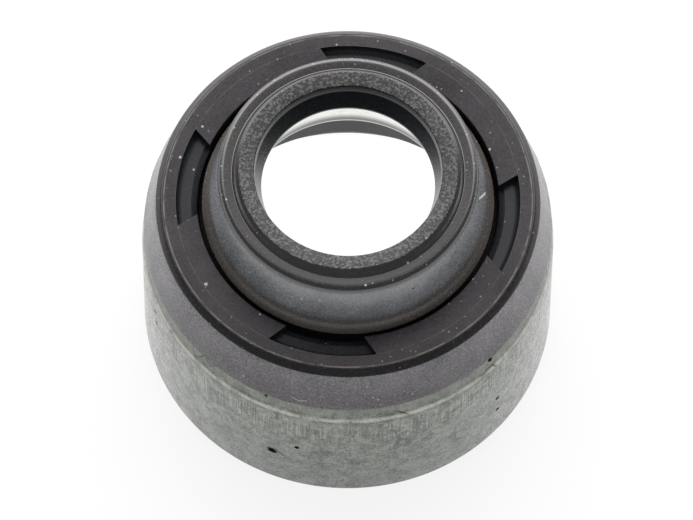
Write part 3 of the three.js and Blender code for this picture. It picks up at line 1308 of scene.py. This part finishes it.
class CaseFinishes:
    """Finishes of the case: the dull outside, and the bright face inside the collar."""

    OUTSIDE = SteelFinish(
        name="phosphated_steel",
        # Painted highlight round the shoulder bend.
        bend_highlight=0.75,
        draw_lines=0.42,
        # Painted shade towards the skirt's foot, and painted light on the shoulder's top.
        foot_shade=0.52,
        top_painted_light=0.5,
        bump=0.6,
        scuffs=0.5,
        pits=0.12,
        spots=(
            Spot(-102.61, 9.5, 2.897, 0.3),
            Spot(-95.39, 9.5, 3.993, 0.16),
            Spot(-150.2, 9.5, 6.324, 0.15),
            Spot(-149.67, 9.5, 5.297, 0.15),
            Spot(-36.6, 9.3, 8.1, 0.15),
            Spot(-34.3, 9.5, 3.611, 0.14),
            Spot(-34.12, 9.5, 2.335, 0.14),
        ),
    )
    INSIDE = SteelFinish(
        name="bright_collar",
        dark=(0.68, 0.67, 0.645),
        light=(0.93, 0.92, 0.89),
        roughness=0.14,
        mottle=0.35,
        bump=0.08,
        # Painted shade low on the collar's face and a painted highlight line.
        shade_from=9.75,
        shade_to=10.35,
        shade=(0.16, 0.165, 0.165),
        glint_height=9.5,
    )

    @staticmethod
    def dress(piece: bpy.types.Object, sizes: CaseSizes, patterns: Patterns) -> None:
        """Give each face of the pressing its finish.

        Args:
            piece: The pressing.
            sizes: Its sizes.
            patterns: The shared groups.
        """
        piece.data.materials.clear()
        for finish in (CaseFinishes.OUTSIDE, CaseFinishes.INSIDE):
            piece.data.materials.append(finish.build(patterns))
        bend_end = sizes.collar_bore + sizes.collar_bend
        for face in piece.data.polygons:
            centre = face.center / MM
            radius = math.hypot(centre.x, centre.y)
            outward = centre.x * face.normal.x + centre.y * face.normal.y
            inner = radius < bend_end and (outward < 0 or face.normal.z < -0.2)
            face.material_index = 1 if inner else 0


class Region(Enum):
    """Parts of the rubber moulding that look different."""

    RING = 0
    LEDGE = 1
    FLAT = 2
    BOSS = 3
    TRENCH = 4
    POCKET = 5
    ANNULUS = 6
    COVER = 7
    BEVEL = 8
    BORE = 9
    LINING = 10


class RubberFinishes:
    """Finishes of the rubber moulding, by region.

    The boss and cover are partly painted light, and the ledge, trench, pockets, bevel and bore carry painted
    shade. The three facing values are how squarely a face looks up, from 0 to 1.
    """

    FLAT_FACING = 0.97
    MOUTH_FACING = 0.6
    BEVEL_FACING = 0.4
    LINING_REACH = 1.5
    COLLAR_REACH = 1.0

    BY_REGION = {
        Region.RING: RubberFinish(
            name="rubber_ring", bloom=(0.14, 0.137, 0.13), bloom_share=0.18, grain=1.25, grain_scale=7600.0,
            sparkle=0.35, dust_colour=(0.26, 0.25, 0.23), roughness=0.5, specular=0.35, bump=1.0, pits=0.15,
            pale_spots=(Spot(-35.27, 4.95, 14.33, 0.09),), dark_spots=(Spot(183.25, 4.834, 14.33, 0.06),),
        ),
        # Painted shade: the step wall gets a darker tone than the rubber beside it.
        Region.LEDGE: RubberFinish(
            name="rubber_ledge", bloom_share=0.1, dust=0.1, roughness=0.2, specular=1.0, index=1.7
        ),
        Region.FLAT: RubberFinish(
            name="rubber_flat", bloom=(0.068, 0.052, 0.051), bloom_share=0.4, grain=0.3, roughness=0.27,
            specular=0.24, dust=0.6,
            pale_spots=(Spot(165.37, 5.7, 14.05, 0.06), Spot(170.23, 5.45, 14.09, 0.05)),
            dark_spots=(Spot(175.85, 5.554, 14.09, 0.05), Spot(-167.05, 5.4, 14.09, 0.05)),
        ),
        # Partly painted light: the grey bloom is far paler than the rubber's own, standing in for light; foot
        # and crest darken its low and high ends.
        Region.BOSS: RubberFinish(
            name="rubber_boss", bloom=(0.46, 0.478, 0.508), bloom_share=0.5, bloom_contrast=0.35, grain=0.12,
            roughness=0.27, dust=0.5, dust_colour=(0.75, 0.74, 0.7),
            specular=0.9, foot=0.85, foot_height=11.3, foot_rise=0.9, foot_colour=(0.095, 0.078, 0.064),
            crest=0.93, crest_height=13.55, crest_rise=0.3,
            pale_marks=((Spot(0.4, 6.06, 13.21, 0.15), Spot(8.1, 6.29, 12.09, 0.15)),),
        ),
        # Painted shade: a darker copy of the rubber down in the trench.
        Region.TRENCH: RubberFinish(
            name="rubber_trench", black=(0.008, 0.0075, 0.0075), bloom=(0.035, 0.031, 0.028), bloom_share=0.4,
            dust=0.03, pits=0.0, specular=0.15, index=1.45, roughness=0.6,
        ),
        # Painted shade: a darker copy of the rubber in the pockets.
        Region.POCKET: RubberFinish(
            name="rubber_pocket", black=(0.006, 0.0065, 0.008), bloom=(0.04, 0.042, 0.05), bloom_share=0.4,
            specular=0.15, dust=0.2,
        ),
        Region.ANNULUS: RubberFinish(
            name="rubber_annulus", black=(0.01, 0.008, 0.01), bloom=(0.066, 0.054, 0.063), bloom_share=0.35,
            bloom_contrast=0.6, grain=0.3, roughness=0.42, specular=0.22, dust=0.55,
            lines=((8.45, 0.03, 0.3), (7.9, 0.02, 0.1), (8.2, 0.02, -0.25)),
            pale_spots=(
                Spot(83.92, 7.321, 11.18, 0.08), Spot(83.51, 7.657, 11.18, 0.05),
                Spot(173.2, 8.0, 11.18, 0.08), Spot(-137.7, 7.77, 11.18, 0.1),
                Spot(30.57, 7.0, 11.18, 0.06), Spot(-70.9, 7.696, 11.0, 0.06),
            ),
            dark_spots=(
                Spot(174.66, 7.0, 11.18, 0.05), Spot(-91.07, 8.459, 11.18, 0.06),
                Spot(-81.46, 8.33, 11.18, 0.05),
            ),
        ),
        # Partly painted light: the bloom is far paler than the rubber's own, standing in for light; the foot
        # darkens it towards the bottom.
        Region.COVER: RubberFinish(
            name="rubber_cover", bloom=(0.43, 0.404, 0.435), bloom_share=0.5, grain=0.22, roughness=0.25,
            specular=0.2, dust=0.6, foot=0.4, foot_height=8.6, foot_rise=2.0, dust_colour=(0.6, 0.53, 0.42),
            pale_spots=(
                Spot(-73.98, 9.209, 9.337, 0.06), Spot(-72.58, 9.255, 9.151, 0.06),
                Spot(-112.06, 9.26, 9.13, 0.06),
            ),
            dark_spots=(
                Spot(-97.53, 9.39, 8.602, 0.06), Spot(-88.38, 9.387, 8.612, 0.06),
                Spot(-74.08, 9.367, 8.695, 0.06),
            ),
            pale_marks=(
                (Spot(-97.1, 9.29, 8.99, 0.07), Spot(-94.9, 9.33, 8.84, 0.07)),
                (Spot(-94.9, 9.33, 8.84, 0.07), Spot(-92.8, 9.31, 8.93, 0.07)),
            ),
            dark_marks=((Spot(-96.8, 9.28, 9.04, 0.06), Spot(-94.6, 9.3, 8.92, 0.06)),),
        ),
        # Painted shade: a darker tone of the rubber on the bevel.
        Region.BEVEL: RubberFinish(name="rubber_bevel", bloom_share=0.1, dust=0.15, roughness=0.24),
        # Painted shade: a darker, bluish copy of the rubber inside the bore.
        Region.BORE: RubberFinish(
            name="rubber_bore", black=(0.003, 0.005, 0.0075), bloom=(0.016, 0.024, 0.034), bloom_share=0.25,
            dust=0.06, roughness=0.22, specular=0.28,
        ),
        Region.LINING: RubberFinish(
            name="rubber_lining", bloom=(0.05, 0.053, 0.064), bloom_share=0.5, dust=0.1, roughness=0.4,
            specular=0.25,
            dark_spots=(Spot(92.9, 7.5, 3.3, 0.07), Spot(90.7, 7.5, 3.3, 0.07)),
        ),
    }

    @staticmethod
    def region(face: bpy.types.MeshPolygon, sizes: RubberSizes) -> Region:
        """Tell which region a face belongs to.

        Args:
            face: A face of the moulding.
            sizes: Sizes of the moulding.

        Returns:
            The region.
        """
        centre = face.center / MM
        radius, height = math.hypot(centre.x, centre.y), centre.z
        low = sizes.slack
        ring_foot = sizes.ring_radius + 2 * sizes.ledge_width
        flat_height = sizes.boss_height - sizes.rim_dish - low
        lining_reach = sizes.case.skirt_radius - RubberFinishes.LINING_REACH
        under_trench = height < sizes.trench_floor - low and radius < lining_reach
        if height < sizes.cover_edge - low or under_trench:
            return Region.LINING
        if radius < sizes.mouth_radius + low and height > sizes.case.collar_top - low:
            return Region.BORE if face.normal.z < RubberFinishes.MOUTH_FACING else Region.RING
        if height > flat_height and radius < ring_foot + low:
            return Region.RING if radius < sizes.ring_radius + low else Region.LEDGE
        if height > flat_height and face.normal.z > RubberFinishes.FLAT_FACING:
            return Region.FLAT
        if height < sizes.relief_height and radius < sizes.case.collar_bore + RubberFinishes.COLLAR_REACH:
            return Region.BORE
        if radius < sizes.base_radius + low and height > sizes.base_height - low:
            return Region.BOSS
        if radius < sizes.annulus_bore + low and height < sizes.annulus_height - low:
            return Region.TRENCH
        if radius < sizes.pockets.back_radius + low and height < sizes.annulus_height - low:
            return Region.POCKET
        if radius < sizes.annulus_outer + low and face.normal.z > RubberFinishes.FLAT_FACING:
            return Region.ANNULUS
        bevel_foot = sizes.annulus_height - sizes.bevel_height
        if height > bevel_foot and face.normal.z > RubberFinishes.BEVEL_FACING:
            return Region.BEVEL
        return Region.COVER

    @staticmethod
    def dress(piece: bpy.types.Object, sizes: RubberSizes, patterns: Patterns) -> None:
        """Give each face of the moulding its finish.

        Args:
            piece: The moulding.
            sizes: Its sizes.
            patterns: The shared groups.
        """
        piece.data.materials.clear()
        for region in Region:
            piece.data.materials.append(RubberFinishes.BY_REGION[region].build(patterns))
        for face in piece.data.polygons:
            face.material_index = RubberFinishes.region(face, sizes).value


@dataclass
class Studio:
    """Camera, floor and light. Angles are degrees and camera lengths millimetres.

    The surround is bright behind the object and dim on the camera's side. The two shadow shares say
    how much of the floor's own shade stays visible outside the skirt and inside it.
    """

    elevation: float = 64.533
    azimuth: float = 8.59
    distance: float = 448.73
    roll: float = 0.340
    lens: float = 502.0
    sensor: float = 36.0
    target: tuple[float, float, float] = (-0.055, 0.0, 4.769)
    floor_tone: float = 0.85
    floor_glow: float = 1.09
    shadow_share: float = 0.22
    bore_shadow_share: float = 0.03
    inside_to: float = 8.6
    outside_from: float = 9.3
    gloss_share: float = 1.08
    key_height: float = 27.0
    dim_from: float = 0.4
    dim_to: float = 1.0
    soft_dim: float = 0.36
    soft_bright: float = 3.1
    mirrored_dim: float = 0.17
    mirrored_bright: float = 3.6

    def camera(self) -> bpy.types.Object:
        """Place the camera at the photograph's viewing angle.

        Returns:
            The camera.
        """
        elevation, roll = math.radians(self.elevation), math.radians(self.roll)
        back = Vector((0.0, -math.cos(elevation), math.sin(elevation)))
        right = Vector((1.0, 0.0, 0.0))
        up = back.cross(right)
        side = math.cos(roll) * right + math.sin(roll) * up
        top = -math.sin(roll) * right + math.cos(roll) * up
        place = Vector(self.target) * MM + back * self.distance * MM
        turn = Matrix((side, top, back)).transposed().to_4x4()
        data = bpy.data.cameras.new("camera")
        data.sensor_width = self.sensor
        data.lens = self.lens
        data.clip_start = 0.01
        data.clip_end = 10.0
        camera = bpy.data.objects.new("camera", data)
        bpy.context.scene.collection.objects.link(camera)
        spin = Matrix.Rotation(math.radians(self.azimuth), 4, "Z")
        camera.matrix_world = spin @ Matrix.Translation(place) @ turn
        bpy.context.scene.camera = camera
        return camera

    def floor(self) -> bpy.types.Object:
        """Lay the pale floor, which shows white and keeps a soft shadow.

        Returns:
            The floor.
        """
        Workshop.deselect()
        bpy.ops.mesh.primitive_plane_add(size=4.0, location=(0, 0, 0))
        floor = bpy.context.object
        floor.name = "floor"
        material = bpy.data.materials.new("floor_white")
        material.use_nodes = True
        wiring = Wiring(material.node_tree)
        shader = material.node_tree.nodes["Principled BSDF"]
        tone = self.floor_tone
        shader.inputs["Base Color"].default_value = (tone, tone, tone, 1.0)
        shader.inputs["Roughness"].default_value = 1.0
        glow = wiring.add("ShaderNodeEmission")
        glow.inputs["Strength"].default_value = self.floor_glow
        path = wiring.add("ShaderNodeLightPath")
        seen = wiring.math("MAXIMUM", path.outputs["Is Camera Ray"], path.outputs["Is Transmission Ray"])
        where = wiring.add("ShaderNodeTexCoord").outputs["Object"]
        radius = wiring.math("MULTIPLY", wiring.vector("LENGTH", where).outputs["Value"], MM_PER_METRE)
        inside, outside = 1.0 - self.bore_shadow_share, 1.0 - self.shadow_share
        shown = wiring.ease(radius, self.inside_to, self.outside_from, inside, outside)
        seen = wiring.math("MULTIPLY", seen, shown)
        mirrored = wiring.math("MULTIPLY", path.outputs["Is Glossy Ray"], self.gloss_share)
        seen = wiring.math("MAXIMUM", seen, mirrored)
        mix = wiring.add("ShaderNodeMixShader")
        wiring.feed(mix.inputs[0], seen)
        wiring.feed(mix.inputs[1], shader.outputs[0])
        wiring.feed(mix.inputs[2], glow.outputs[0])
        below = wiring.add("ShaderNodeMixShader")
        wiring.feed(below.inputs[0], wiring.add("ShaderNodeNewGeometry").outputs["Backfacing"])
        wiring.feed(below.inputs[1], mix.outputs[0])
        wiring.feed(below.inputs[2], wiring.add("ShaderNodeBsdfTransparent").outputs[0])
        wiring.feed(material.node_tree.nodes["Material Output"].inputs["Surface"], below.outputs[0])
        floor.data.materials.append(material)
        return floor

    def light(self) -> None:
        """Light the scene with a soft white surround that is dim on the camera's side."""
        world = bpy.data.worlds.new("studio")
        bpy.context.scene.world = world
        world.use_nodes = True
        wiring = Wiring(world.node_tree)
        turn = math.radians(self.azimuth)
        facing = wiring.add("ShaderNodeTexCoord").outputs["Generated"]
        rise = math.radians(self.key_height)
        key = (-math.sin(turn) * math.cos(rise), math.cos(turn) * math.cos(rise), math.sin(rise))
        away = wiring.vector("DOT_PRODUCT", facing, key)
        side = wiring.ease(away.outputs["Value"], self.dim_from, self.dim_to)
        path = wiring.add("ShaderNodeLightPath")
        soft = wiring.ease(side, 0.0, 1.0, self.soft_dim, self.soft_bright)
        mirrored = wiring.ease(side, 0.0, 1.0, self.mirrored_dim, self.mirrored_bright)
        level = wiring.math(
            "ADD",
            wiring.math("MULTIPLY", path.outputs["Is Glossy Ray"], mirrored),
            wiring.math("MULTIPLY", wiring.math("SUBTRACT", 1.0, path.outputs["Is Glossy Ray"]), soft),
        )
        seen = wiring.math("MAXIMUM", path.outputs["Is Camera Ray"], path.outputs["Is Transmission Ray"])
        level = wiring.math("MAXIMUM", level, seen)
        background = world.node_tree.nodes["Background"]
        background.inputs["Color"].default_value = (1.0, 1.0, 1.0, 1.0)
        wiring.feed(background.inputs["Strength"], level)
        bpy.context.scene.view_settings.view_transform = "Standard"


def main() -> None:
    """Build the seal, dress it and set the stage."""
    logging.basicConfig(level=logging.INFO, format="%(name)s: %(message)s")
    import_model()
    patterns = Patterns()
    case_sizes = CaseSizes()
    case = SteelCase(case_sizes).build()
    CaseFinishes.dress(case, case_sizes, patterns)
    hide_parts("steel_case")
    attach(case, "root")
    LOG.info("case: %d faces", len(case.data.polygons))
    rubber_sizes = RubberSizes()
    rubber = RubberBody(rubber_sizes).build()
    RubberFinishes.dress(rubber, rubber_sizes, patterns)
    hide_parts("rubber_body")
    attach(rubber, "root")
    LOG.info("rubber: %d faces", len(rubber.data.polygons))
    studio = Studio()
    studio.camera()
    studio.floor()
    studio.light()


if __name__ == "__main__":
    main()
